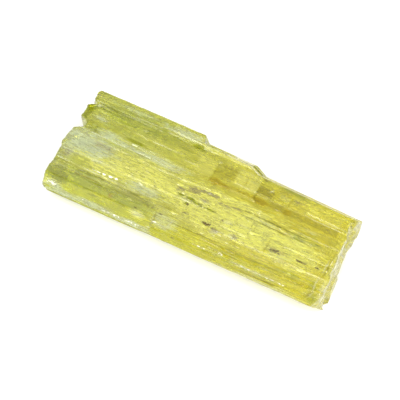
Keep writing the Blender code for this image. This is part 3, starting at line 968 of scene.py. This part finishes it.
# Painted highlights: matte white pieces at the edges that stand in for the lamp's glints
PAINTED_GLINTS = (
    ((-14.0, -5.5, 9.5), (0.22, 0.14, 0.5), 1.0),
    ((-12.95, -5.4, 9.5), (0.25, 0.16, 0.5), 1.0),
    ((-12.1, -5.3, 9.5), (0.18, 0.12, 0.5), 1.0),
    ((-15.1, -5.5, 9.5), (0.7, 0.08, 0.5), 0.5),
    ((-10.5, -5.2, 9.4), (0.3, 0.10, 0.5), 0.5),
    ((-4.6, -7.9, 6.9), (0.3, 0.1, 0.15), 1.0),
    ((-21.4, -8.2, 5.4), (0.8, 0.2, 0.4), 0.25),
    ((3.2, -8.1, 6.1), (1.2, 0.05, 0.1), 0.3),
    ((6.2, -7.9, 6.3), (0.8, 0.05, 0.1), 0.3),
    ((12.2, -8.0, 5.7), (4.0, 0.05, 0.08), 0.2),
    ((-9.5, -8.47, 4.6), (3.0, 0.05, 0.08), 0.35),
    ((-15.5, -8.41, 4.8), (2.0, 0.05, 0.08), 0.25),
)
END_FACE = (
    ((22.6, -1.0, 4.5), (0.1, 8.5, 4.0), 0.5),
    ((22.5, -2.5, 7.2), (0.1, 5.5, 1.2), 1.5),
)
MIDDLE = (
    ((2.0, -4.0, 9.1), (9.0, 2.6, 1.0), 1.0),
    ((14.0, -3.5, 8.9), (7.0, 3.0, 1.0), 0.6),
    ((-9.0, -3.0, 9.3), (8.0, 2.5, 1.0), 0.7),
)
TOP_AT_END = (
    ((22.2, -3.4, 8.9), (0.15, 2.6, 0.4), 1.0),
    ((21.6, 1.0, 8.9), (0.6, 3.4, 0.4), 0.5),
    ((21.2, -4.6, 8.9), (0.4, 1.2, 0.4), 0.5),
)
print("zones of dark lines:", len(DARK_LINES), "and of specks:", len(SPECKS))

# %% [markdown]
# One row for each kind: name, zones, number of copies, size, depth below the skin, how far the
# copies turn from their heading, the heading itself in degrees, and the colour. A thread is about a
# tenth of a millimetre wide, so one plain colour does for each kind. Milky threads,
# yellow threads and grey flakes fill the zones of the frosted, yellow and grey stains, so that the
# two agree. On the right-hand end the veils run across it, at a heading of 90 degrees.

# %% Threads of every kind
THREADS = (
    ("milky_threads", FROST, 1100, (1.1, 0.15, 0.05), (0.08, 0.5), 0.05, 0, (0.86, 0.91, 0.66)),
    ("yellow_threads", YELLOW, 1800, (1.2, 0.16, 0.05), (0.04, 0.4), 0.04, 0, (1.0, 1.0, 0.34)),
    ("pale_threads", ALL_OVER, 300, (1.8, 0.09, 0.05), (0.08, 0.6), 0.04, 0, (1.0, 0.98, 0.50)),
    ("pale_flecks", MIDDLE, 420, (0.7, 0.14, 0.05), (0.02, 0.25), 0.12, 0, (0.97, 0.96, 0.62)),
    ("olive_threads", ALL_OVER, 280, (0.9, 0.10, 0.05), (0.02, 0.4), 0.05, 0, (0.42, 0.42, 0.03)),
    ("dark_threads", DARK_LINES, 400, (0.8, 0.08, 0.06), (0.02, 0.15), 0.08, 0, (0.22, 0.23, 0.0)),
    ("hairlines", ALL_OVER, 160, (1.3, 0.05, 0.04), (0.0, 0.12), 0.03, 0, (0.26, 0.26, 0.0)),
    ("fine_specks", MIDDLE, 220, (0.22, 0.08, 0.05), (0.0, 0.06), 0.6, 0, (0.20, 0.19, 0.0)),
    ("grey_flakes", GREY, 130, (0.6, 0.18, 0.05), (0.03, 0.2), 0.15, 0, (0.54, 0.51, 0.32)),
    ("black_specks", SPECKS, 170, (0.36, 0.13, 0.07), (0.0, 0.05), 0.5, 0, (0.09, 0.06, 0.0)),
    ("painted_glints", PAINTED_GLINTS, 135, (0.34, 0.12, 0.06), (-0.01, 0.04), 0.3, 0, (1.0, 1.0, 0.96)),
    ("end_veils", END_FACE, 140, (2.2, 0.14, 0.05), (0.02, 0.4), 0.04, 90, (0.96, 0.95, 0.70)),
    ("top_veils", TOP_AT_END, 70, (1.6, 0.10, 0.05), (0.02, 0.3), 0.06, 90, (0.93, 0.91, 0.52)),
)
FIRST_SEED = 11
THREAD_ROUGHNESS = 0.5


def thread_finish(name, colour):
    finish = bpy.data.materials.new(name)
    finish.use_nodes = True
    surface = finish.node_tree.nodes["Principled BSDF"]
    surface.inputs["Base Color"].default_value = (*colour, 1)
    surface.inputs["Roughness"].default_value = THREAD_ROUGHNESS
    return finish


for number, (name, zones, count, size, depth, yaw, heading, colour) in enumerate(THREADS):
    piece = scatter(name, zones, count, size, depth, yaw, heading, FIRST_SEED + number)
    piece.data.materials.append(thread_finish(name, colour))
    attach(piece, "root")
    print(name, len(piece.data.polygons), "faces")
bpy.data.objects.remove(thread)

# %% [markdown]
# ## Table and light
# The crystal lies on a white table in a white room. The room is dimmer than the lamp that comes
# next, which leaves some shade in the flutes. The table lies a hair below the crystal, so that the
# two surfaces are never in the same place.

# %% Room and table
GAP = 0.04 * MM
TABLE_SIDE = 4.0
PAPER_WHITE = (0.94, 0.94, 0.94, 1)
PAPER_ROUGHNESS = 0.9
ROOM_WHITE = (1, 1, 1, 1)
ROOM_LIGHT = 0.6
room = bpy.data.worlds.new("white_room")
bpy.context.scene.world = room
room.use_nodes = True
glow = room.node_tree.nodes["Background"]
glow.inputs["Color"].default_value = ROOM_WHITE
glow.inputs["Strength"].default_value = ROOM_LIGHT
deselect_all()
bpy.ops.mesh.primitive_plane_add(size=TABLE_SIDE, location=(0, 0, -GAP))
table = bpy.context.object
table.name = "table"
paper = bpy.data.materials.new("white_paper")
paper.use_nodes = True
paper_surface = paper.node_tree.nodes["Principled BSDF"]
paper_surface.inputs["Base Color"].default_value = PAPER_WHITE
paper_surface.inputs["Roughness"].default_value = PAPER_ROUGHNESS
table.data.materials.append(paper)
print("table", round(GAP / MM, 2), "mm below the crystal")

# %% [markdown]
# One large soft lamp hangs high up, in front and to the right, and shines at the crystal. The
# Standard view shows colours as they come, with no film look laid over them.

# %% The lamp
LAMP_WIDTH = 1.0
LAMP_DEPTH = 0.9
LAMP_WATTS = 13.6
LAMP_PLACE = (0.22, -0.35, 0.8)
softbox = bpy.data.lights.new("softbox", "AREA")
softbox.shape = "RECTANGLE"
softbox.size = LAMP_WIDTH
softbox.size_y = LAMP_DEPTH
softbox.energy = LAMP_WATTS
lamp = bpy.data.objects.new("softbox", softbox)
bpy.context.scene.collection.objects.link(lamp)
lamp.location = LAMP_PLACE
lamp.rotation_euler = (-lamp.location).to_track_quat("-Z", "Y").to_euler()
bpy.context.scene.view_settings.view_transform = "Standard"
print("lamp at", LAMP_PLACE, "with", LAMP_WATTS, "watts")
